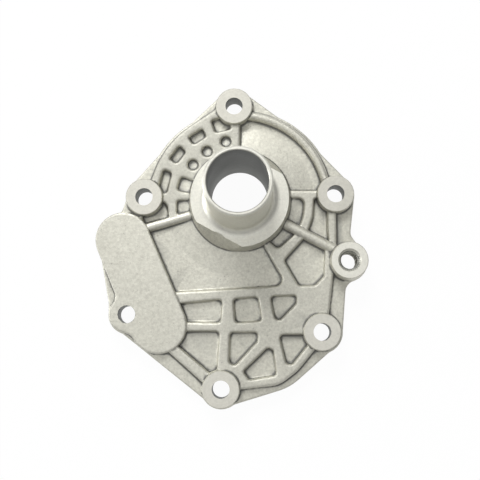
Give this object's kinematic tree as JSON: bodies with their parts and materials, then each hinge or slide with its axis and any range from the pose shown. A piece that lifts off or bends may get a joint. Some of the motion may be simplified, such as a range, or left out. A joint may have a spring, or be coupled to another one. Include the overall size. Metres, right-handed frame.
{
  "type": "gearbox front cover",
  "caption": "Die cast aluminium gearbox front cover with a turned release bearing snout, ribbed plate, bolt bosses and fork pivot boss.",
  "frame": {"origin": "on the snout's axis, in the plane of the joint face", "axes": "+Z along the snout towards its open end, +Y towards the top bolt, +X towards the fork pivot"},
  "size_m": [0.1408, 0.167, 0.0647],
  "materials": {
    "cast_aluminium": "fine sandy as-cast skin, with machined boss seats, collar and snout"
  },
  "bodies": {
    "root": {"front_cover": "cast_aluminium"}
  },
  "joints": []
}
